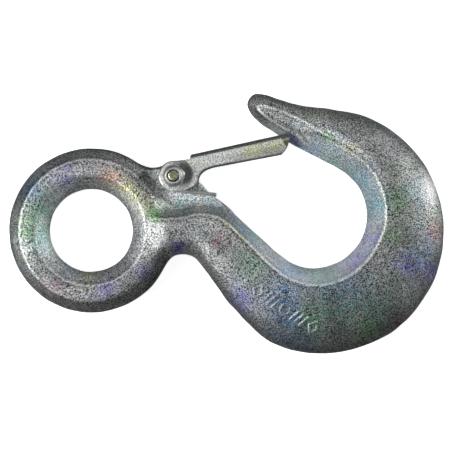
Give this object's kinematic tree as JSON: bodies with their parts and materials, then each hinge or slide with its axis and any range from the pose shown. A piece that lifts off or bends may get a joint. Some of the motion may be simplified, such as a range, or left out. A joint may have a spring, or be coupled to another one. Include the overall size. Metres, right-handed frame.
{
  "type": "eye hook with latch",
  "caption": "Forged lifting hook with a round eye, a wide bowl, and a sprung sheet-metal latch that pivots on a bolt and closes the throat under the tip.",
  "frame": {"origin": "middle of the eye, on the forging's mid-plane", "axes": "+X along the load line from the eye to the bowl, +Y towards the side that the hook opens on, +Z square to the hook's plane, up when the hook lies on its side"},
  "size_m": [0.1674, 0.102, 0.0261],
  "materials": {
    "forging": "dull galvanised forging, grainy, faint passivation tints",
    "latch_sheet": "zinc-plated pressed sheet, satin",
    "bolt": "yellow-passivated zinc plating, satin",
    "nut": "zinc plating, satin",
    "insert": "dark nylon, dull",
    "spring_wire": "drawn spring wire, satin"
  },
  "bodies": {
    "hook": {"hook_body": "forging", "latch_spring": "spring_wire"},
    "latch": {"latch": "latch_sheet", "latch_bolt": "bolt", "lock_nut": "nut", "nut_insert": "insert"}
  },
  "joints": [
    {"name": "latch_pivot", "type": "hinge", "parent": "hook", "child": "latch", "pos_m": [0.0334, 0.0185, 0], "axis": [0, 0, 1], "range_deg": [-45, 0], "stiffness_Nm_per_rad": 0.1, "springref_deg": 34.38, "deforming": ["latch_spring"]}
  ]
}
